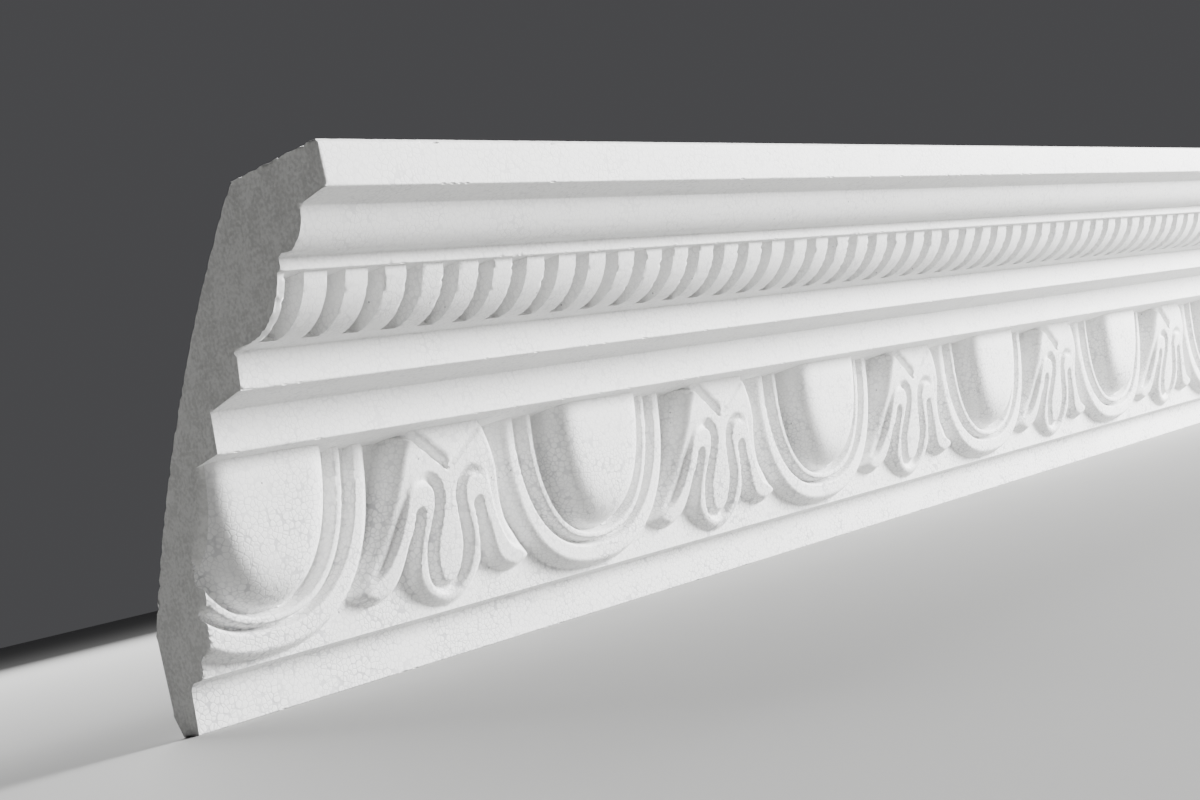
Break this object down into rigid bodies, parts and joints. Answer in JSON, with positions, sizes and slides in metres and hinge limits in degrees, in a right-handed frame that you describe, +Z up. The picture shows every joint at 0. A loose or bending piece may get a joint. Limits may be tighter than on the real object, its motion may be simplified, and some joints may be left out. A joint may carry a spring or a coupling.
{
  "type": "cornice moulding section",
  "caption": "Length of moulded ceiling cornice in white polystyrene foam, with an egg and leaf band, plain fascias, a fluted strip and a crown fascia, cut square at both ends.",
  "frame": {"origin": "middle of the flat wall face, at the foot of the back", "axes": "+X along the length towards the far end, +Y into the wall, +Z up to the ceiling"},
  "size_m": [0.7, 0.1049, 0.1273],
  "materials": {
    "polystyrene_foam": "white moulded expanded polystyrene, unpainted, with the outlines of its beads showing"
  },
  "bodies": {
    "root": {"cornice_moulding": "polystyrene_foam"}
  },
  "joints": []
}
